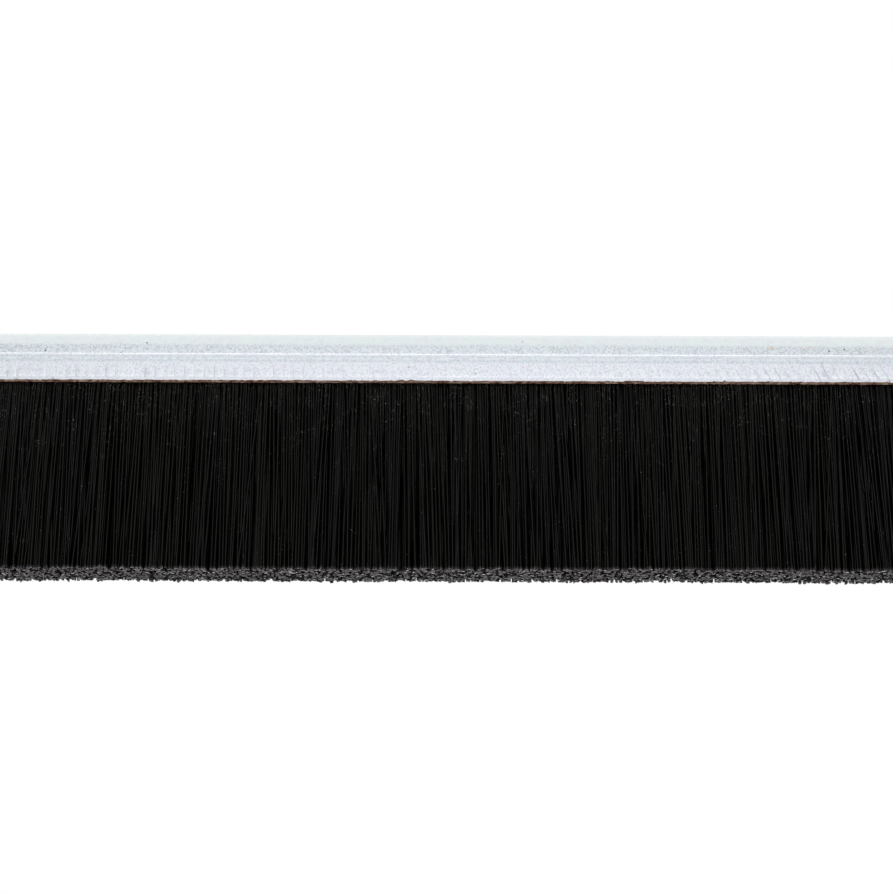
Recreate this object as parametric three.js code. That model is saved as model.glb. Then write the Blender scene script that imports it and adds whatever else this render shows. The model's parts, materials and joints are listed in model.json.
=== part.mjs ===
// A brush door sweep: a folded steel channel grips black filaments that are doubled over a core wire.
// Millimetres, +Z up. X runs along the sweep and -Y is its front. The origin is the top of the
// channel's crown, halfway along, so the whole sweep hangs below z = 0.
import * as THREE from "three";

// Driving dimensions.
const LENGTH = 1000; // the stock length, cut to the width of the door when it is fitted
const OVERALL_HEIGHT = 25; // from the crown to the filament tips
const CHANNEL_WIDTH = 5.6; // over the two legs
const CHANNEL_HEIGHT = 5.7;
const SHEET = 0.6; // steel strip thickness
const SHOULDER_DROP = 3.4; // from the crown to where the crimped legs start to close in
const CRIMP = 0.3; // how far each leg has closed in at the mouth
const WIRE_DIAMETER = 1.6;
const FOLD_CLEARANCE = 0.1; // between the folded filaments and the steel around them
const HINGE_DROP = 1.0; // from the mouth down to the line about which a bundle flexes
const HINGE_PACK = 3.4; // filament pack thickness at that line
const TIP_PACK = 4.8; // filament pack thickness at the tips
const SWING_GAP = 0.3; // between a swinging bundle's round top and the fold above it
const BUNDLE_COUNT = 25;
const BUNDLE_GAP = 0.3; // between one bundle and the next
const CROWN_FACETS = 16; // in half a turn
const WIRE_FACETS = 20; // in a full turn

// Places worked out from them.
const outerRadius = CHANNEL_WIDTH / 2;
const innerRadius = outerRadius - SHEET;
const crownCentreZ = -outerRadius;
const shoulderZ = -SHOULDER_DROP;
const mouthZ = -CHANNEL_HEIGHT;
const hingeZ = mouthZ - HINGE_DROP;
const foldEndZ = hingeZ + HINGE_PACK / 2 + SWING_GAP;
const tipZ = -OVERALL_HEIGHT;
const bundlePitch = LENGTH / BUNDLE_COUNT;
const bundleLength = bundlePitch - BUNDLE_GAP;

const galvanised = new THREE.MeshStandardMaterial({
  color: 0xdfe4ea,
  metalness: 0.85,
  roughness: 0.4,
});
const drawnWire = new THREE.MeshStandardMaterial({
  color: 0xa9adb2,
  metalness: 1.0,
  roughness: 0.35,
});
const blackNylon = new THREE.MeshStandardMaterial({
  color: 0x0e0e0e,
  metalness: 0.0,
  roughness: 0.45,
});

// A section's x runs across the sweep and its y runs up. The prism is centred on x = 0.
function prismAlongX(section, length) {
  const geometry = new THREE.ExtrudeGeometry(section, { depth: length, bevelEnabled: false });
  const across = new THREE.Vector3(0, 1, 0);
  const up = new THREE.Vector3(0, 0, 1);
  const along = new THREE.Vector3(1, 0, 0);
  geometry.applyMatrix4(new THREE.Matrix4().makeBasis(across, up, along));
  return geometry.translate(-length / 2, 0, 0);
}

function part(name, geometry, material) {
  const mesh = new THREE.Mesh(geometry, material);
  mesh.name = name;
  return mesh;
}

// A half turn from the +Y side over the top to the -Y side.
function halfTurn(radius, centreZ, facets) {
  const arc = new THREE.Path().absarc(0, centreZ, radius, 0, Math.PI, false);
  return arc.getPoints(facets);
}

// How far a crimped leg has closed in at a height between the shoulder and the mouth.
function closedInAt(z) {
  return (CRIMP * (shoulderZ - z)) / (shoulderZ - mouthZ);
}

// A round crown with two legs: straight to the shoulder, then closing in down to z = lowZ.
function archPoints(radius, lowZ) {
  const lowHalfWidth = radius - closedInAt(lowZ);
  return [
    new THREE.Vector2(lowHalfWidth, lowZ),
    new THREE.Vector2(radius, shoulderZ),
    ...halfTurn(radius, crownCentreZ, CROWN_FACETS),
    new THREE.Vector2(-radius, shoulderZ),
    new THREE.Vector2(-lowHalfWidth, lowZ),
  ];
}

// The folded steel strip: out along its outer face and back along its inner face.
function channel() {
  const outer = archPoints(outerRadius, mouthZ);
  const inner = archPoints(innerRadius, mouthZ).reverse();
  const section = new THREE.Shape([...outer, ...inner]);
  return part("channel", prismAlongX(section, LENGTH), galvanised);
}

// The wire over which every filament is doubled. It lies along the centre of the crown.
function coreWire() {
  const wire = new THREE.CylinderGeometry(WIRE_DIAMETER / 2, WIRE_DIAMETER / 2, LENGTH, WIRE_FACETS);
  const mesh = part("core_wire", wire, drawnWire);
  mesh.rotation.z = Math.PI / 2;
  mesh.position.z = crownCentreZ;
  return mesh;
}

// The folded stretch of one bundle, which the channel grips and which never moves.
function bristleFold(name) {
  const section = new THREE.Shape(archPoints(innerRadius - FOLD_CLEARANCE, foldEndZ));
  const wireSpace = new THREE.Path();
  const wireSpaceRadius = WIRE_DIAMETER / 2 + FOLD_CLEARANCE;
  wireSpace.absarc(0, crownCentreZ, wireSpaceRadius, 0, 2 * Math.PI, true);
  section.holes.push(new THREE.Path(wireSpace.getPoints(WIRE_FACETS / 2)));
  return part(name, prismAlongX(section, bundleLength), blackNylon);
}

// The free stretch of one bundle. Its top is round about the flex line, so that it can swing.
function bristleBundle(name) {
  const section = new THREE.Shape([
    new THREE.Vector2(TIP_PACK / 2, tipZ),
    ...halfTurn(HINGE_PACK / 2, hingeZ, CROWN_FACETS / 2),
    new THREE.Vector2(-TIP_PACK / 2, tipZ),
  ]);
  return part(name, prismAlongX(section, bundleLength), blackNylon);
}

const doorSweep = new THREE.Group();
doorSweep.add(channel(), coreWire());
for (let i = 0; i < BUNDLE_COUNT; i++) {
  const number = String(i + 1).padStart(2, "0");
  const bundle = new THREE.Group();
  bundle.add(bristleFold(`bristle_fold_${number}`), bristleBundle(`bristle_bundle_${number}`));
  bundle.position.x = (i - (BUNDLE_COUNT - 1) / 2) * bundlePitch;
  doorSweep.add(bundle);
}

export default doorSweep;
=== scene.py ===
"""A brush door sweep: a crimped steel channel, its core wire, and black filaments in bundles.

Everything is in metres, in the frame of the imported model: +X along the sweep, -Y its front, +Z up.
"""

import json
import math

import bmesh
import bpy
import numpy as np
from mathutils import Matrix, Vector

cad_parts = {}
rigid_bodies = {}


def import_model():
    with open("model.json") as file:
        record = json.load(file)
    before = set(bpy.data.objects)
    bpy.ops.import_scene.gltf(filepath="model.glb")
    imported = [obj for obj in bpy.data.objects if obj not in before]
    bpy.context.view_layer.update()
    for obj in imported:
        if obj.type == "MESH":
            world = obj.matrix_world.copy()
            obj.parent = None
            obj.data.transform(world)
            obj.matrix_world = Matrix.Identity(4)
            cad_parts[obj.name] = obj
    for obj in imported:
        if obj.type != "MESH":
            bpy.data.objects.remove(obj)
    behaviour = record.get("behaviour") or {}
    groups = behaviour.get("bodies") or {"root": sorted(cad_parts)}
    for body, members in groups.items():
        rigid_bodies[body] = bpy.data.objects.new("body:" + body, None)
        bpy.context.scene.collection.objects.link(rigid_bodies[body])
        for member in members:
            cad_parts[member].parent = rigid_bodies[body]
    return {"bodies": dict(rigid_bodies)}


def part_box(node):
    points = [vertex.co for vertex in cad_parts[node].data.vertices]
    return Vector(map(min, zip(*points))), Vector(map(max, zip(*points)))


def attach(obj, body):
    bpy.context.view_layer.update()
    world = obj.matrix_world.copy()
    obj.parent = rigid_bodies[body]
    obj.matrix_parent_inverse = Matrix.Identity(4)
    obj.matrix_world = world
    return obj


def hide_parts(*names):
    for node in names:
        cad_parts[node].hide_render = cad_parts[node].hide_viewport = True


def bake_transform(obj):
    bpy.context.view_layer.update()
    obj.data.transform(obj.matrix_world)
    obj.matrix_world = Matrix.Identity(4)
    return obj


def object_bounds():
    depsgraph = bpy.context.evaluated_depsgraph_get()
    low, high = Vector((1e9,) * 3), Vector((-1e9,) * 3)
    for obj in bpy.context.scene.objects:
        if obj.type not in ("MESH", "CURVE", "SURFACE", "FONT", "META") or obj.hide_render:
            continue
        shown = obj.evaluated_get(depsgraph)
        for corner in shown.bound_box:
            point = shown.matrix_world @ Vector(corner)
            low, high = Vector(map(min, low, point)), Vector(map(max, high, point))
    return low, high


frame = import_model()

cad_low, cad_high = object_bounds()

MM = 0.001
SHARP_ANGLE = math.radians(35.0)
WHITE = (1.0, 1.0, 1.0)
BLACK = (0.0, 0.0, 0.0)

LEG_SEED = 31
PACK_SEED = 7
FIRST_BUNDLE_SEED = 1000

# The frame's own places.
channel_low, channel_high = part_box("channel")
_, wire_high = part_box("core_wire")
bundles = sorted(name for name in frame["bodies"] if name.startswith("bundle_"))
HALF_LENGTH = channel_high.x
CROWN_RADIUS = channel_high.y
CROWN_CENTRE_Z = channel_high.z - CROWN_RADIUS
MOUTH_Z = channel_low.z
WIRE_RADIUS = wire_high.y
TIP_Z = cad_low.z

# The channel, finer than the frame says it.
SHEET = 0.6 * MM
CRIMP = 0.3 * MM
CRIMP_TOP_Z = -3.6 * MM
# Down the straight flank: (z, how far in) in millimetres. A fine step stands out of it where the
# roller's edge ran.
FLANK = [
    (-2.85, 0.0),
    (-2.89, 0.0),
    (-2.98, -0.05),
    (-3.02, -0.05),
    (-3.24, -0.03),
    (-3.40, 0.0),
    (-3.52, 0.027),
]
# The same down the crimped leg, whose lip turns out again below a fine crease.
CRIMPED = [
    (-3.60, 0.045),
    (-3.94, 0.09),
    (-4.28, 0.137),
    (-4.64, 0.185),
    (-5.00, 0.235),
    (-5.28, 0.273),
    (-5.46, 0.312),
    (-5.52, 0.305),
    (-5.68, 0.27),
]
LEG_WAVES = 0.003 * MM  # how far the crimped leg is from true
EDGE_RAGGED = 0.025 * MM  # along the sheared edge
NICK_SHARE = 0.03
NICK_DEPTH = 0.09 * MM
CROWN_STEPS = 33
INNER_CROWN_STEPS = 17

# The marks that the crimping roller's teeth left on the legs.
TOOTH_PITCH = 0.97 * MM
TOOTH_SHARES = (0.0, 0.06, 0.13, 0.21, 0.60)  # stations across one pitch
TOOTH_PROFILE = (0.0, 0.1, 1.0, 0.45, 0.15)  # how deep the mark is at each of them
TOOTH_DEPTH = 0.012 * MM
TOOTH_STRENGTH = (0.7, 0.2)  # mean and spread, as a share of a full mark
WEAKEST_TOOTH = 0.3
TOOTH_TOP = (-3.8 * MM, -4.6 * MM)  # from no mark to a full one, going down
TOOTH_FOOT = (-5.6 * MM, -5.3 * MM)  # from no mark to a full one, going up
TEETH_PER_SPARSE_STEP = 16  # the crown and the inside have one station to this many teeth
# The marks lean, curve and deepen in slow waves along the leg, each (length, shift) in metres.
LEAN_WAVE = (0.19, 0.045)
CURVE_WAVE = (0.13, 0.06)
STRENGTH_WAVE = (0.075, 0.030)
HALF_LEAN = 0.28  # sideways for each unit down
CURVE = 0.12 * MM
STRENGTH_MIDDLE = 0.68
STRENGTH_SWING = 0.32
STRAIGHT_END = 2.0 * MM  # no lean or curve at the cut ends, which are flat

# The core wire.
WIRE_SIDES = 32
PINCHED_SHARE = 0.86  # of the radius, where the shears closed on it
PINCHED_LENGTH = 0.15 * MM

# The filaments.
FILAMENT_DIAMETER = 0.3 * MM
FILAMENT_SIDES = 5
ROWS = 12
COLUMN_PITCH = 0.27 * MM
MOUTH_PACK = 3.7 * MM
TIP_PACK = 4.8 * MM
GRIPPED_LENGTH = 1.2 * MM
FOLDED_COLUMNS = 5
FREE_LENGTH = MOUTH_Z - TIP_Z
SPREAD_POWER = 0.6  # how early down its length the pack thickens
LOOP_STATIONS = 11  # over the wire
# Shares of the free length, from inside the channel to the tip, closest together where it bends.
STATIONS = np.array([-GRIPPED_LENGTH / FREE_LENGTH, 0.03, 0.075, 0.12, 0.166, 0.50, 1.0])

# How unlike each other the filaments are. Leans are in degrees.
ROOT_SCATTER = 0.4  # of the pitch
ROW_SCATTER = 0.5  # of a row
BACK_UNRULY = 0.4  # how unruly the last row is, where the first is 1
PACK_LEAN = 0.5
PACK_LEAN_SPACING = 2.6 * MM
ROW_LEAN = 0.7
ROW_LEAN_SPACING = 1.6 * MM
OWN_LEAN = 0.9
STRAY_SHARE = 0.02
STRAY_LEAN = 2.6
MOST_GATHERED = 0.16  # of the way to the middle of a tuft
GATHER_POWER = 1.5  # how late down its length a strand turns to the tuft
TUFT_WIDTHS = (0.8, 3.0)  # in millimetres
BOW = 0.05 * MM
TIP_SCATTER = 0.08 * MM
CUT_WANDER = 0.03 * MM
CUT_WANDER_SPACING = 3.5 * MM
CUT_SCATTER = 0.035 * MM
MISCUT_SHARE = 0.02
MISCUT_SCATTER = 0.13 * MM
THICKNESSES = (0.84, 1.08)  # of the filament's diameter
MOST_OVAL = 0.12
BURR = 1.18  # how much thicker each cut end is
CUT_SLOPE = 0.42

# The stage, the light and the camera.
FLOOR_HALF_WIDTH = 30.0
FLOOR_Z = -0.22
FLOOR_GLOW = 0.76
SOFTBOX_DISTANCE = 0.9
SURROUND_LIGHT = 0.04
CAMERA_LENS = 81.9  # millimetres, on the sensor below
CAMERA_SENSOR = 36.0
CAMERA_ELEVATION = math.radians(-19.0)
CAMERA_ROLL = math.radians(0.2)
CAMERA_DISTANCE = 202.2 * MM
CAMERA_AIM_Z = -11.72 * MM


# ---------------------------------------------------------------- small tools


def smoothstep(low, high, value):
    t = np.clip((value - low) / (high - low), 0.0, 1.0)
    return t * t * (3.0 - 2.0 * t)


def wander(rng, low, high, spacing):
    """A smooth random function of x between low and high, with a new value every spacing."""
    count = int(math.ceil((high - low) / spacing)) + 2
    values = rng.normal(size=count)

    def at(x):
        place = np.clip((x - low) / spacing, 0, count - 1.001)  # short of the last knot
        left = place.astype(int)
        share = smoothstep(0.0, 1.0, place - left)
        return values[left] * (1.0 - share) + values[left + 1] * share

    return at


def link(obj):
    bpy.context.scene.collection.objects.link(obj)


def add_attribute(mesh, name, domain, values):
    """Gives each point or face of a mesh a number that its material can read."""
    layer = mesh.attributes.new(name, "FLOAT", domain)
    layer.data.foreach_set("value", values.astype(np.float32))


def mesh_object(name, points, faces, material):
    """points is an (n, 3) array; faces is a list of vertex lists."""
    mesh = bpy.data.meshes.new(name)
    mesh.from_pydata(points.tolist(), [], faces)
    shell = bmesh.new()
    shell.from_mesh(mesh)
    bmesh.ops.recalc_face_normals(shell, faces=shell.faces)
    shell.to_mesh(mesh)
    shell.free()
    mesh.shade_smooth()
    mesh.set_sharp_from_angle(angle=SHARP_ANGLE)
    mesh.materials.append(material)
    obj = bpy.data.objects.new(name, mesh)
    link(obj)
    return obj


# ---------------------------------------------------------------- materials


def new_material(name):
    material = bpy.data.materials.new(name)
    material.use_nodes = True
    nodes = material.node_tree.nodes
    return material, nodes, material.node_tree.links, nodes["Principled BSDF"]


def ramp(nodes, stops):
    """A colour ramp from (place, grey or colour) pairs."""
    node = nodes.new("ShaderNodeValToRGB")
    elements = node.color_ramp.elements
    while len(elements) < len(stops):
        elements.new(0.5)
    for element, (place, colour) in zip(elements, stops):
        rgb = (colour,) * 3 if isinstance(colour, float) else colour
        element.position = place
        element.color = (*rgb, 1.0)
    return node


def noise(nodes, links, coordinates, scale, detail=2.0, roughness=0.5, stretch=(1, 1, 1)):
    """A noise texture in object coordinates. stretch multiplies them axis by axis."""
    mapping = nodes.new("ShaderNodeMapping")
    mapping.inputs["Scale"].default_value = stretch
    texture = nodes.new("ShaderNodeTexNoise")
    texture.inputs["Scale"].default_value = scale
    texture.inputs["Detail"].default_value = detail
    texture.inputs["Roughness"].default_value = roughness
    links.new(coordinates, mapping.inputs["Vector"])
    links.new(mapping.outputs["Vector"], texture.inputs["Vector"])
    return texture.outputs["Fac"]


def attribute(nodes, name):
    """A number that the mesh carries for each of its points or faces."""
    node = nodes.new("ShaderNodeAttribute")
    node.attribute_name = name
    return node.outputs["Fac"]


def bump_from(nodes, links, height, strength, depth):
    """The normal of a surface that stands out by up to depth."""
    node = nodes.new("ShaderNodeBump")
    node.inputs["Strength"].default_value = strength
    node.inputs["Distance"].default_value = depth
    links.new(height, node.inputs["Height"])
    return node.outputs["Normal"]


def mix(nodes, links, factor, first, second, blend_type="MIX"):
    """A colour mix. The factor is a socket or a number, and each colour is a socket or three numbers."""
    node = nodes.new("ShaderNodeMix")
    node.data_type = "RGBA"
    node.blend_type = blend_type
    for socket, value in (("Factor_Float", factor), ("A_Color", first), ("B_Color", second)):
        target = next(i for i in node.inputs if i.identifier == socket)
        if isinstance(value, bpy.types.NodeSocket):
            links.new(value, target)
        elif isinstance(value, float):
            target.default_value = value
        else:
            target.default_value = (*value, 1.0)
    return next(o for o in node.outputs if o.identifier == "Result_Color")


def galvanised_steel():
    """Bright galvanised coat: smooth over the crown and speckled below it, with a painted highlight line
    along the flank's step and a band of painted shade above the crimp.
    """
    material, nodes, links, shader = new_material("galvanised_steel")
    place = nodes.new("ShaderNodeTexCoord").outputs["Object"]
    axes = nodes.new("ShaderNodeSeparateXYZ")
    links.new(place, axes.inputs["Vector"])
    height = nodes.new("ShaderNodeMapRange")
    height.inputs["From Min"].default_value = MOUTH_Z
    height.inputs["From Max"].default_value = 0.0
    links.new(axes.outputs["Z"], height.inputs["Value"])

    def by_height(stops):
        """A ramp up the channel from (z in millimetres, colour) pairs."""
        node = ramp(nodes, [((z * MM - MOUTH_Z) / -MOUTH_Z, colour) for z, colour in stops])
        links.new(height.outputs["Result"], node.inputs["Fac"])
        return node.outputs["Color"]

    # The coat's tone up the channel, with painted light in it: a painted highlight line and a band of
    # painted shade.
    coat_tone_and_painted_light = by_height(
        [
            (-5.60, (0.645, 0.665, 0.705)),
            (-3.92, (0.640, 0.660, 0.700)),
            # Painted shade: a darker band from here up to -3.28 mm, where the flank turns in and down.
            (-3.76, (0.540, 0.570, 0.600)),
            (-3.50, (0.475, 0.510, 0.540)),
            (-3.28, (0.525, 0.555, 0.585)),
            (-3.18, (0.630, 0.655, 0.685)),
            (-3.09, (0.660, 0.690, 0.725)),
            # Painted highlight: the pale line along the flank's step.
            (-3.01, (0.90, 0.93, 0.96)),
            (-2.91, (0.65, 0.68, 0.72)),
            (-2.50, (0.625, 0.665, 0.695)),
            (-2.12, (0.605, 0.65, 0.67)),
            (-1.85, (0.69, 0.735, 0.75)),
            (-1.70, (0.69, 0.735, 0.73)),
        ]
    )

    # Speckles, which are few on the crown, and a faint frost.
    scuffed = by_height(
        [(-5.5, 0.6), (-3.75, 0.7), (-3.1, 0.5), (-2.8, 0.9), (-2.08, 1.0), (-1.72, 0.04)]
    )
    grain = ramp(nodes, [(0.38, 0.74), (0.52, 1.0)])
    links.new(noise(nodes, links, place, 5200.0, roughness=0.6), grain.inputs["Fac"])
    flecked = mix(nodes, links, scuffed, WHITE, grain.outputs["Color"])
    coloured = mix(nodes, links, 1.0, coat_tone_and_painted_light, flecked, "MULTIPLY")
    frost = ramp(
        nodes,
        [(0.36, (0.96, 0.94, 0.98)), (0.5, (0.98, 0.98, 1.0)), (0.64, (0.965, 1.0, 0.99))],
    )
    links.new(noise(nodes, links, place, 1500.0, detail=3.0), frost.inputs["Fac"])
    frosted = mix(nodes, links, 1.0, coloured, frost.outputs["Color"], "MULTIPLY")

    # A few rust stains on the upper flank, dark pits anywhere, and painted shade in the roller's tooth
    # marks.
    rust = ramp(nodes, [(0.66, 0.0), (0.74, 0.7)])
    blots = noise(nodes, links, place, 760.0, detail=4.0, roughness=0.6, stretch=(0.5, 1.0, 1.0))
    links.new(blots, rust.inputs["Fac"])
    upper_flank = by_height([(-3.05, 0.0), (-2.95, 1.0), (-1.9, 1.0), (-1.7, 0.0)])
    rusty = mix(nodes, links, upper_flank, BLACK, rust.outputs["Color"])
    stained = mix(nodes, links, rusty, frosted, (0.58, 0.43, 0.25))
    pits = nodes.new("ShaderNodeTexVoronoi")
    pits.inputs["Scale"].default_value = 460.0
    links.new(place, pits.inputs["Vector"])
    pit = ramp(nodes, [(0.035, 0.25), (0.055, 1.0)])
    links.new(pits.outputs["Distance"], pit.inputs["Fac"])
    pitted = mix(nodes, links, 1.0, stained, pit.outputs["Color"], "MULTIPLY")
    # Painted shade: the colour darkens where the tooth marks are pressed deepest, standing in for the
    # shade on their steep sides.
    mark_shaded = mix(nodes, links, attribute(nodes, "tooth_mark_shade"), pitted, (0.36, 0.38, 0.42))

    # The sheared edge faces down at the mouth. It has lost its zinc and is brown.
    sheared = by_height([(-5.64, 1.0), (-5.58, 0.0)])
    surface = nodes.new("ShaderNodeNewGeometry")
    facing = nodes.new("ShaderNodeSeparateXYZ")
    links.new(surface.outputs["Normal"], facing.inputs["Vector"])
    down = nodes.new("ShaderNodeMapRange")
    down.inputs["From Min"].default_value = -0.6
    down.inputs["From Max"].default_value = -0.85
    links.new(facing.outputs["Z"], down.inputs["Value"])
    bare = mix(nodes, links, down.outputs["Result"], BLACK, sheared)
    edge_tone = ramp(
        nodes,
        [(0.35, (0.14, 0.05, 0.03)), (0.5, (0.42, 0.25, 0.18)), (0.65, (0.75, 0.56, 0.44))],
    )
    links.new(noise(nodes, links, place, 2200.0, roughness=0.6), edge_tone.inputs["Fac"])
    finished = mix(nodes, links, bare, mark_shaded, edge_tone.outputs["Color"])
    links.new(finished, shader.inputs["Base Color"])
    metal = nodes.new("ShaderNodeMapRange")
    metal.inputs["To Min"].default_value = 1.0
    metal.inputs["To Max"].default_value = 0.1
    links.new(bare, metal.inputs["Value"])
    links.new(metal.outputs["Result"], shader.inputs["Metallic"])

    # Roughness and a fine relief, both stronger where the zinc is scuffed.
    smooth = by_height([(-3.0, 0.24), (-1.8, 0.26), (-1.6, 0.22)])
    gloss = ramp(nodes, [(0.35, 0.85), (0.65, 1.2)])
    links.new(noise(nodes, links, place, 4300.0, roughness=0.6), gloss.inputs["Fac"])
    uneven = mix(nodes, links, scuffed, WHITE, gloss.outputs["Color"])
    links.new(mix(nodes, links, 1.0, smooth, uneven, "MULTIPLY"), shader.inputs["Roughness"])
    relief = mix(nodes, links, scuffed, (0.93, 0.93, 0.93), grain.outputs["Color"])
    links.new(bump_from(nodes, links, relief, 0.25, 0.012 * MM), shader.inputs["Normal"])
    return material


def drawn_wire():
    """Drawn steel with fine die lines along the wire."""
    material, nodes, links, shader = new_material("drawn_steel_wire")
    place = nodes.new("ShaderNodeTexCoord").outputs["Object"]
    lines = noise(nodes, links, place, 4000.0, stretch=(0.02, 1.0, 1.0))
    tone = ramp(nodes, [(0.3, (0.36, 0.36, 0.36)), (0.7, (0.60, 0.60, 0.61))])
    links.new(lines, tone.inputs["Fac"])
    links.new(tone.outputs["Color"], shader.inputs["Base Color"])
    links.new(bump_from(nodes, links, lines, 0.2, 0.01 * MM), shader.inputs["Normal"])
    shader.inputs["Metallic"].default_value = 1.0
    shader.inputs["Roughness"].default_value = 0.38
    return material


def black_filament():
    """Extruded black nylon. Each strand has its own tone and gloss, and its cut end is a dull grey."""
    material, nodes, links, shader = new_material("black_filament")
    place = nodes.new("ShaderNodeTexCoord").outputs["Object"]
    strand = attribute(nodes, "strand_tone")
    down = attribute(nodes, "down_strand")
    tone = ramp(
        nodes,
        [
            (0.0, (0.0004, 0.0004, 0.0002)),
            (0.45, (0.0010, 0.0010, 0.0004)),
            (0.60, (0.0006, 0.0014, 0.0012)),
            (0.72, (0.0012, 0.0010, 0.0012)),
            (0.88, (0.0032, 0.0029, 0.0014)),
            (1.0, (0.0044, 0.0044, 0.0034)),
        ],
    )
    links.new(strand, tone.inputs["Fac"])

    # Dust: a haze and specks, both thickest near the mouth.
    near_mouth = nodes.new("ShaderNodeMapRange")
    near_mouth.inputs["From Max"].default_value = 0.6
    near_mouth.inputs["To Min"].default_value = 0.07
    near_mouth.inputs["To Max"].default_value = 0.0
    links.new(down, near_mouth.inputs["Value"])
    patches = nodes.new("ShaderNodeMath")
    patches.operation = "MULTIPLY_ADD"
    patches.inputs[1].default_value = 0.2
    links.new(noise(nodes, links, place, 620.0), patches.inputs[0])
    links.new(near_mouth.outputs["Result"], patches.inputs[2])
    specks = nodes.new("ShaderNodeMath")
    specks.operation = "ADD"
    links.new(noise(nodes, links, place, 10500.0, roughness=0.6), specks.inputs[0])
    links.new(patches.outputs["Value"], specks.inputs[1])
    dust = ramp(nodes, [(0.84, 0.0), (0.885, 1.0)])
    links.new(specks.outputs["Value"], dust.inputs["Fac"])
    film = ramp(nodes, [(0.0, 0.0025), (0.16, 0.0010), (0.32, 0.0)])
    links.new(down, film.inputs["Fac"])
    hazy = mix(nodes, links, film.outputs["Color"], tone.outputs["Color"], (0.34, 0.38, 0.40))
    dusty = mix(nodes, links, dust.outputs["Color"], hazy, (0.40, 0.40, 0.38))

    # Torn grey nylon on the cut ends, and a trace of it just above them.
    torn = ramp(
        nodes,
        [
            (0.34, (0.036, 0.031, 0.038)),
            (0.50, (0.077, 0.068, 0.079)),
            (0.62, (0.126, 0.117, 0.115)),
            (0.70, (0.205, 0.195, 0.184)),
        ],
    )
    links.new(noise(nodes, links, place, 8000.0, detail=3.0), torn.inputs["Fac"])
    sheared = ramp(nodes, [(0.984, 0.0), (0.996, 0.4)])
    links.new(down, sheared.inputs["Fac"])
    frayed = mix(nodes, links, sheared.outputs["Color"], dusty, torn.outputs["Color"])
    coloured = mix(nodes, links, attribute(nodes, "cut_end"), frayed, torn.outputs["Color"])
    links.new(coloured, shader.inputs["Base Color"])

    # Each strand's own gloss, worn in patches, and a fine relief.
    own_gloss = ramp(nodes, [(0.0, 0.50), (0.25, 0.30), (0.40, 0.10), (1.0, 0.06)])
    links.new(strand, own_gloss.inputs["Fac"])
    wear = ramp(nodes, [(0.42, 0.7), (0.66, 1.5)])
    down_the_strand = (1.0, 1.0, 0.2)
    rubbed = noise(nodes, links, place, 1900.0, detail=3.0, roughness=0.6, stretch=down_the_strand)
    links.new(rubbed, wear.inputs["Fac"])
    worn_gloss = mix(nodes, links, 1.0, own_gloss.outputs["Color"], wear.outputs["Color"], "MULTIPLY")
    links.new(worn_gloss, shader.inputs["Roughness"])
    relief = noise(nodes, links, place, 3200.0, roughness=0.6, stretch=down_the_strand)
    links.new(bump_from(nodes, links, relief, 0.12, 0.03 * MM), shader.inputs["Normal"])
    shader.inputs["Specular IOR Level"].default_value = 0.18
    return material


# ---------------------------------------------------------------- channel


def arch(radius, down_to, steps):
    """(y, z) along a fold: up the front from its lowest (z, inset), over the crown and down the back."""
    turn = np.linspace(math.pi, 0.0, steps)
    crown = np.stack([radius * np.cos(turn), CROWN_CENTRE_Z + radius * np.sin(turn)], axis=1)
    back = np.array([(radius - inset * MM, z * MM) for z, inset in down_to])
    front = back[::-1] * (-1.0, 1.0)
    return np.concatenate([front, crown, back])


def angle_along(stations, wave):
    """How far round a wave of (length, shift) each station is."""
    length, shift = wave
    return 2.0 * math.pi * (stations + shift) / length


def crimped_leg(side, stations):
    """The outer face of one crimped leg, from below its shoulder to its sheared edge.

    The stations follow the marks of the crimping roller's teeth, which lean more or less along the leg.
    Returns an (x, row, 3) array of points and an (x, row) array of how hard each was pressed, squared,
    which the material turns into painted shade in the marks.
    """
    rng = np.random.default_rng(LEG_SEED + side)
    z, closed_in = MM * np.array(CRIMPED).T[:, None, :]
    down = (CRIMP_TOP_Z - z) / (CRIMP_TOP_Z - MOUTH_Z)
    lean = HALF_LEAN * (1.0 - np.cos(angle_along(stations, LEAN_WAVE)))[:, None]
    curve = CURVE * np.sin(angle_along(stations, CURVE_WAVE))[:, None]
    inside = np.clip((HALF_LENGTH - np.abs(stations)) / STRAIGHT_END, 0.0, 1.0)[:, None]
    shift = inside * (lean * down * (CRIMP_TOP_Z - MOUTH_Z) + curve * np.sin(math.pi * down))

    per_tooth = len(TOOTH_SHARES)
    teeth = len(stations) // per_tooth + 1
    strengths = np.clip(rng.normal(*TOOTH_STRENGTH, teeth), WEAKEST_TOOTH, 1.0)
    strong = STRENGTH_MIDDLE + STRENGTH_SWING * np.cos(angle_along(stations, STRENGTH_WAVE))
    strength = np.repeat(strengths, per_tooth)[: len(stations)] * strong
    profile = np.tile(TOOTH_PROFILE, teeth)[: len(stations)]
    band = smoothstep(*TOOTH_TOP, z) * smoothstep(*TOOTH_FOOT, z)
    waves = LEG_WAVES * rng.normal(size=(len(stations), len(CRIMPED)))
    waves[:, 0] = 0.0
    mark = (strength * profile)[:, None] * band
    pressed = TOOTH_DEPTH * mark + waves

    ragged = rng.normal(size=len(stations)) * EDGE_RAGGED
    ragged += np.where(rng.random(len(stations)) < NICK_SHARE, NICK_DEPTH, 0.0)
    height = np.broadcast_to(z, pressed.shape).copy()
    height[:, -1] += ragged
    height[:, -2] += 0.5 * ragged
    x = stations[:, None] + shift
    y = side * (CROWN_RADIUS - closed_in - pressed)
    return np.stack([x, y, height], axis=2), mark**2


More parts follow.
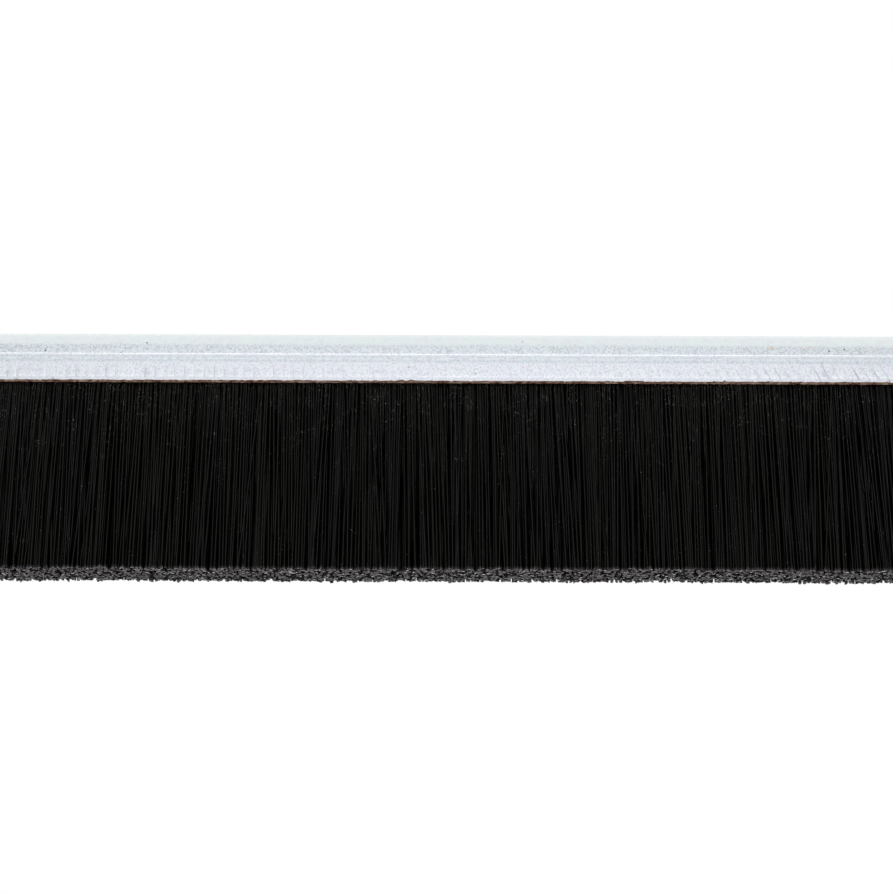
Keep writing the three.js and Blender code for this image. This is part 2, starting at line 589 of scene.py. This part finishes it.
def steel_channel(material):
    """The folded sheet. Only its crimped legs have stations close enough to show the tooth marks."""
    steps = int(round(2 * HALF_LENGTH / TOOTH_PITCH / TEETH_PER_SPARSE_STEP))
    teeth = steps * TEETH_PER_SPARSE_STEP
    places = (np.arange(teeth)[:, None] + np.array(TOOTH_SHARES)).ravel()
    dense = -HALF_LENGTH + 2.0 * HALF_LENGTH * np.append(places, teeth) / teeth
    stride = TEETH_PER_SPARSE_STEP * len(TOOTH_SHARES)
    sparse = dense[::stride]
    outer = arch(CROWN_RADIUS, FLANK, CROWN_STEPS)
    inner_leg = [(CRIMP_TOP_Z / MM, 0.0), (MOUTH_Z / MM, CRIMP / MM)]
    inner = arch(CROWN_RADIUS - SHEET, inner_leg, INNER_CROWN_STEPS)[::-1]

    points = []
    marks = []
    faces = []

    def add_grid(grid, mark=None):
        """Adds an (x, row, 3) grid of points with the painted shade of their tooth marks and returns
        their numbers.
        """
        first = sum(len(p) for p in points)
        points.append(grid.reshape(-1, 3))
        marks.append(np.zeros(grid.shape[:2]).ravel() if mark is None else mark.ravel())
        return first + np.arange(grid.shape[0] * grid.shape[1]).reshape(grid.shape[:2])

    def add_quads(numbers):
        a, b = numbers[:-1, :-1], numbers[1:, :-1]
        c, d = numbers[1:, 1:], numbers[:-1, 1:]
        faces.extend(np.stack([a, b, c, d], axis=2).reshape(-1, 4).tolist())

    def add_seam(fine, coarse):
        """Long faces that join a fine row of points to a coarse one."""
        for i in range(len(coarse) - 1):
            run = fine[i * stride : (i + 1) * stride + 1]
            faces.append([*run.tolist(), int(coarse[i + 1]), int(coarse[i])])

    def lofted(profile, stations):
        grid = np.zeros((len(stations), len(profile), 3))
        grid[:, :, 0] = stations[:, None]
        grid[:, :, 1:] = profile[None, :, :]
        return grid

    front = add_grid(*crimped_leg(-1, dense))
    back = add_grid(*crimped_leg(1, dense))
    crown = add_grid(lofted(outer, sparse))
    inside = add_grid(lofted(inner, sparse))
    add_quads(front[:, ::-1])
    add_quads(back)
    add_quads(crown)
    add_quads(inside)
    add_seam(front[:, 0], crown[:, 0])
    add_seam(back[::-1, 0], crown[::-1, -1])
    add_seam(front[::-1, -1], inside[::-1, -1])
    add_seam(back[:, -1], inside[:, 0])
    for station, turn in ((0, 1), (-1, -1)):
        rows = [front[station, ::-1], crown[station], back[station], inside[station]]
        faces.append(np.concatenate(rows).tolist()[::turn])
    steel = mesh_object("channel_steel", np.concatenate(points), faces, material)
    # How hard each point was pressed. The material paints this as shade in the tooth marks.
    add_attribute(steel.data, "tooth_mark_shade", "POINT", np.concatenate(marks))
    return steel


# ---------------------------------------------------------------- core wire


def core_wire(material):
    """A drawn wire whose two ends are slightly pinched by the shears."""
    pinched = PINCHED_SHARE * WIRE_RADIUS
    round_end = HALF_LENGTH - PINCHED_LENGTH
    stations = [-HALF_LENGTH, -round_end, 0.0, round_end, HALF_LENGTH]
    radii = [pinched, WIRE_RADIUS, WIRE_RADIUS, WIRE_RADIUS, pinched]
    turn = 2.0 * math.pi * np.arange(WIRE_SIDES) / WIRE_SIDES
    points = []
    for x, radius in zip(stations, radii):
        ring = [np.full(WIRE_SIDES, x), radius * np.cos(turn), CROWN_CENTRE_Z + radius * np.sin(turn)]
        points.append(np.stack(ring, axis=1))
    numbers = np.arange(len(stations) * WIRE_SIDES).reshape(len(stations), WIRE_SIDES)
    ahead = np.roll(numbers, -1, axis=1)
    quads = np.stack([numbers[:-1], ahead[:-1], ahead[1:], numbers[1:]], axis=2).reshape(-1, 4)
    faces = [*quads.tolist(), numbers[0].tolist(), numbers[-1].tolist()]
    return mesh_object("wire_core", np.concatenate(points), faces, material)


# ---------------------------------------------------------------- filaments


def clumps(rng):
    """A function that gives, for each x, how far it is to the middle of the tuft it belongs to."""
    enough = int(2 * HALF_LENGTH / (1.5 * MM))  # the mean width is 1.9 mm
    edges = -HALF_LENGTH + np.cumsum(rng.uniform(*TUFT_WIDTHS, enough)) * MM
    middles = 0.5 * (edges[:-1] + edges[1:])

    def to_middle(x):
        return middles[np.clip(np.searchsorted(edges, x) - 1, 0, len(middles) - 1)] - x

    return to_middle


class Pack:
    """What all the bundles share, so that the pack of filaments runs on from each to the next."""

    def __init__(self, seed):
        rng = np.random.default_rng(seed)
        ends = -HALF_LENGTH, HALF_LENGTH
        self.lean = wander(rng, *ends, PACK_LEAN_SPACING)
        self.row_leans = [wander(rng, *ends, ROW_LEAN_SPACING) for _ in range(ROWS)]
        self.cut = wander(rng, *ends, CUT_WANDER_SPACING)
        self.row_gathers = [clumps(rng) for _ in range(ROWS)]


def strand_paths(pack, rng, low_x, high_x):
    """Centre lines of one bundle's filaments, from inside the channel to their cut tips.

    Returns a (column, row, station, 3) array.
    """
    columns = int(round((high_x - low_x) / COLUMN_PITCH))
    column, row = np.meshgrid(np.arange(columns), np.arange(ROWS), indexing="ij")
    shape = column.shape
    pitch = (high_x - low_x) / columns
    staggered = column + 0.25 + 0.5 * (row % 2)
    root_x = low_x + pitch * (staggered + rng.uniform(-ROOT_SCATTER, ROOT_SCATTER, shape))
    across = (row + rng.normal(0.0, ROW_SCATTER, shape)) / (ROWS - 1) - 0.5
    across = np.clip(across, -0.5, 0.5)

    unruly = np.linspace(1.0, BACK_UNRULY, ROWS)
    degrees = PACK_LEAN * pack.lean(root_x) + unruly * rng.normal(0.0, OWN_LEAN, shape)
    for k, row_lean in enumerate(pack.row_leans):
        degrees[:, k] += ROW_LEAN * unruly[k] * row_lean(root_x[:, k])
    stray = rng.random(shape) < STRAY_SHARE * unruly
    degrees += np.where(stray, rng.normal(0.0, STRAY_LEAN, shape), 0.0)
    lean = FREE_LENGTH * np.tan(np.radians(degrees))
    gather = np.stack([pull(root_x[:, k]) for k, pull in enumerate(pack.row_gathers)], axis=1)
    gather *= rng.uniform(0.0, MOST_GATHERED, shape)
    bow = rng.normal(0.0, BOW, shape)

    length = FREE_LENGTH + CUT_WANDER * pack.cut(root_x) + rng.normal(0.0, CUT_SCATTER, shape)
    miscut = rng.random(shape) < MISCUT_SHARE
    length += np.where(miscut, rng.normal(0.0, MISCUT_SCATTER, shape), 0.0)

    share = np.broadcast_to(STATIONS, (*shape, len(STATIONS)))
    down = np.maximum(share, 0.0)
    x = root_x[..., None] + lean[..., None] * down + gather[..., None] * down**GATHER_POWER
    x += bow[..., None] * np.sin(math.pi * down)
    thickness = MOUTH_PACK + (TIP_PACK - MOUTH_PACK) * down**SPREAD_POWER - FILAMENT_DIAMETER
    scatter = rng.normal(0.0, TIP_SCATTER, shape)
    y = across[..., None] * thickness + scatter[..., None] * down
    z = MOUTH_Z - length[..., None] * share
    return np.stack([x, y, z], axis=-1)


def hairpins(columns):
    """Joins each front strand to the back strand of its column, over the core wire."""
    joined = []
    for strands in columns:
        for k in range(ROWS // 2):
            front, back = strands[k], strands[ROWS - 1 - k]
            layer = 1.0 - (k + 0.5) / (ROWS // 2)
            radius = WIRE_RADIUS + layer * (CROWN_RADIUS - SHEET - WIRE_RADIUS)
            turn = np.linspace(0.0, math.pi, LOOP_STATIONS)
            over_x = np.linspace(front[0, 0], back[0, 0], LOOP_STATIONS)
            over = [over_x, -radius * np.cos(turn), CROWN_CENTRE_Z + radius * np.sin(turn)]
            joined.append(np.concatenate([front[::-1], np.stack(over, axis=1), back]))
    return np.array(joined)


def tubes(paths, rng):
    """Slightly oval tubes round centre lines that run nowhere along x.

    Returns ring points, side faces and end faces.
    """
    count, stations, _ = paths.shape
    tangent = np.gradient(paths, axis=1)
    tangent /= np.linalg.norm(tangent, axis=2, keepdims=True)
    first = np.array([1.0, 0.0, 0.0]) - tangent * tangent[:, :, :1]
    first /= np.linalg.norm(first, axis=2, keepdims=True)
    second = np.cross(tangent, first)
    as_wide_as_round = math.pi / (FILAMENT_SIDES * math.sin(math.pi / FILAMENT_SIDES))
    radius = 0.5 * FILAMENT_DIAMETER * as_wide_as_round
    radius = radius * rng.uniform(*THICKNESSES, (count, 1, 1, 1))
    twist = rng.uniform(0.0, 2.0 * math.pi, (count, 1, 1))
    oval = rng.uniform(0.0, MOST_OVAL, (count, 1, 1, 1))
    major = first * np.cos(twist) + second * np.sin(twist)
    minor = second * np.cos(twist) - first * np.sin(twist)
    turn = 2.0 * math.pi * np.arange(FILAMENT_SIDES) / FILAMENT_SIDES
    turn = (turn + rng.uniform(0.0, 2.0 * math.pi, (count, 1)))[:, None, :, None]
    around = (1.0 + oval) * major[:, :, None] * np.cos(turn)
    around += (1.0 - oval) * minor[:, :, None] * np.sin(turn)
    burred = np.ones((1, stations, 1, 1))
    burred[:, [0, -1]] = BURR
    rings = paths[:, :, None] + radius * burred * around
    for end in (0, -1):
        slope = rng.normal(0.0, CUT_SLOPE, (count, 1, 1))
        rings[:, end] += tangent[:, end, None] * radius[:, 0] * slope * np.cos(turn[:, 0])
    numbers = np.arange(rings.size // 3).reshape(count, stations, FILAMENT_SIDES)
    ahead = np.roll(numbers, -1, axis=2)
    sides = np.stack([numbers[:, :-1], ahead[:, :-1], ahead[:, 1:], numbers[:, 1:]], axis=3)
    ends = np.concatenate([numbers[:, 0, ::-1], numbers[:, -1]])
    return rings.reshape(-1, 3), sides.reshape(-1, 4)[:, ::-1], ends[:, ::-1]


def filament_bundle(name, path_sets, rng, material):
    """One mesh of tubes, each with its own tone, that knows its cut ends and how far down it is."""
    points = []
    sides = []
    ends = []
    tones = []
    downs = []
    offset = 0
    for paths in path_sets:
        ring_points, side_faces, end_faces = tubes(paths, rng)
        points.append(ring_points)
        sides.append(side_faces + offset)
        ends.append(end_faces + offset)
        tones.append(np.repeat(rng.random(len(paths)), len(ring_points) // len(paths)))
        share = np.clip((MOUTH_Z - paths[:, :, 2]) / FREE_LENGTH, 0.0, 1.0)
        downs.append(np.repeat(share.ravel(), FILAMENT_SIDES))
        offset += len(ring_points)
    points = np.concatenate(points)
    sides = np.concatenate(sides)
    ends = np.concatenate(ends)

    mesh = bpy.data.meshes.new(name)
    mesh.vertices.add(len(points))
    mesh.vertices.foreach_set("co", points.astype(np.float32).ravel())
    corners = np.concatenate([sides.ravel(), ends.ravel()])
    mesh.loops.add(len(corners))
    mesh.loops.foreach_set("vertex_index", corners.astype(np.int32))
    side_starts = 4 * np.arange(len(sides))
    end_starts = 4 * len(sides) + FILAMENT_SIDES * np.arange(len(ends))
    mesh.polygons.add(len(sides) + len(ends))
    starts = np.concatenate([side_starts, end_starts])
    mesh.polygons.foreach_set("loop_start", starts.astype(np.int32))
    mesh.update(calc_edges=True)
    mesh.shade_smooth()
    corner_edges = np.empty(len(corners), dtype=np.int32)
    mesh.loops.foreach_get("edge_index", corner_edges)
    rims = np.zeros(len(mesh.edges), dtype=bool)
    rims[corner_edges[4 * len(sides) :]] = True
    mesh.attributes.new("sharp_edge", "BOOLEAN", "EDGE").data.foreach_set("value", rims)
    add_attribute(mesh, "cut_end", "FACE", np.repeat([0.0, 1.0], [len(sides), len(ends)]))
    add_attribute(mesh, "strand_tone", "POINT", np.concatenate(tones))
    add_attribute(mesh, "down_strand", "POINT", np.concatenate(downs))
    mesh.materials.append(material)
    bundle = bpy.data.objects.new(name, mesh)
    link(bundle)
    return bundle


def add_bundles(material):
    """One piece for each bundle."""
    pack = Pack(PACK_SEED)
    pitch = 2.0 * HALF_LENGTH / len(bundles)
    for index, body in enumerate(bundles):
        number = body.split("_")[-1]
        rng = np.random.default_rng(FIRST_BUNDLE_SEED + index)
        low_x = -HALF_LENGTH + index * pitch
        columns = strand_paths(pack, rng, low_x, low_x + pitch)
        path_sets = []
        if index == 0:
            path_sets.append(hairpins(columns[:FOLDED_COLUMNS]))
            columns = columns[FOLDED_COLUMNS:]
        if index == len(bundles) - 1:
            path_sets.append(hairpins(columns[-FOLDED_COLUMNS:]))
            columns = columns[:-FOLDED_COLUMNS]
        path_sets.append(columns.reshape(-1, *columns.shape[2:]))
        bristles = filament_bundle(f"bristles_{number}", path_sets, rng, material)
        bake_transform(bristles)
        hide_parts(f"bristle_fold_{number}", f"bristle_bundle_{number}")


# ---------------------------------------------------------------- stage, light and camera


def pale_floor():
    """A pale floor that glows evenly, so that it looks the same a long way from the sweep."""
    half = FLOOR_HALF_WIDTH
    corners = [(-half, -half), (half, -half), (half, half), (-half, half)]
    points = np.array([(x, y, FLOOR_Z) for x, y in corners])
    material, _, _, shader = new_material("pale_floor")
    shader.inputs["Base Color"].default_value = (0.04, 0.04, 0.04, 1.0)
    shader.inputs["Roughness"].default_value = 0.9
    shader.inputs["Emission Color"].default_value = (*WHITE, 1.0)
    shader.inputs["Emission Strength"].default_value = FLOOR_GLOW
    floor = mesh_object("floor", points, [[0, 1, 2, 3]], material)


def softbox(name, azimuth, elevation, size, radiance):
    """A lit panel that faces the sweep. Azimuth 0 is straight in front of it."""
    a, e = math.radians(azimuth), math.radians(elevation)
    toward = Vector((math.sin(a) * math.cos(e), -math.cos(a) * math.cos(e), math.sin(e)))
    light = bpy.data.lights.new(name, "AREA")
    light.shape = "RECTANGLE"
    light.size, light.size_y = size
    light.energy = radiance * math.pi * size[0] * size[1]
    lamp = bpy.data.objects.new(name, light)
    lamp.location = toward * SOFTBOX_DISTANCE
    lamp.rotation_euler = toward.to_track_quat("Z", "Y").to_euler()
    lamp.visible_camera = False
    link(lamp)


def white_studio():
    """A surround that the camera sees as pure white, though it gives the sweep very little light."""
    world = bpy.data.worlds.new("studio")
    world.use_nodes = True
    nodes, links = world.node_tree.nodes, world.node_tree.links
    background = nodes["Background"]
    background.inputs["Color"].default_value = (*WHITE, 1.0)
    seen = nodes.new("ShaderNodeLightPath")
    strength = nodes.new("ShaderNodeMapRange")
    strength.inputs["To Min"].default_value = SURROUND_LIGHT
    strength.inputs["To Max"].default_value = 1.0
    links.new(seen.outputs["Is Camera Ray"], strength.inputs["Value"])
    links.new(strength.outputs["Result"], background.inputs["Strength"])
    bpy.context.scene.world = world


def photo_camera():
    """Square on to the sweep's front at mid-length, looking up at it from a little below."""
    camera = bpy.data.cameras.new("camera")
    camera.lens = CAMERA_LENS
    camera.sensor_width = CAMERA_SENSOR
    camera.clip_start = 0.01
    camera.clip_end = 100.0
    aim = Vector((0.0, 0.0, CAMERA_AIM_Z))
    back = Vector((0.0, -math.cos(CAMERA_ELEVATION), math.sin(CAMERA_ELEVATION)))
    obj = bpy.data.objects.new("camera", camera)
    turn = (-back).to_track_quat("-Z", "Y").to_matrix() @ Matrix.Rotation(CAMERA_ROLL, 3, "Z")
    obj.matrix_world = Matrix.Translation(aim + back * CAMERA_DISTANCE) @ turn.to_4x4()
    link(obj)
    bpy.context.scene.camera = obj


# ---------------------------------------------------------------- the object


bpy.context.scene.view_settings.view_transform = "Standard"

steel = steel_channel(galvanised_steel())
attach(steel, "channel")
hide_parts("channel")

wire = core_wire(drawn_wire())
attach(wire, "channel")
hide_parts("core_wire")

add_bundles(black_filament())

white_studio()
pale_floor()
softbox("front", 0.0, 16.0, (0.76, 1.25), 1.2)
softbox("back", 180.0, 16.0, (1.6, 1.25), 1.0)
softbox("overhead", 0.0, 90.0, (3.2, 1.5), 1.1)
photo_camera()
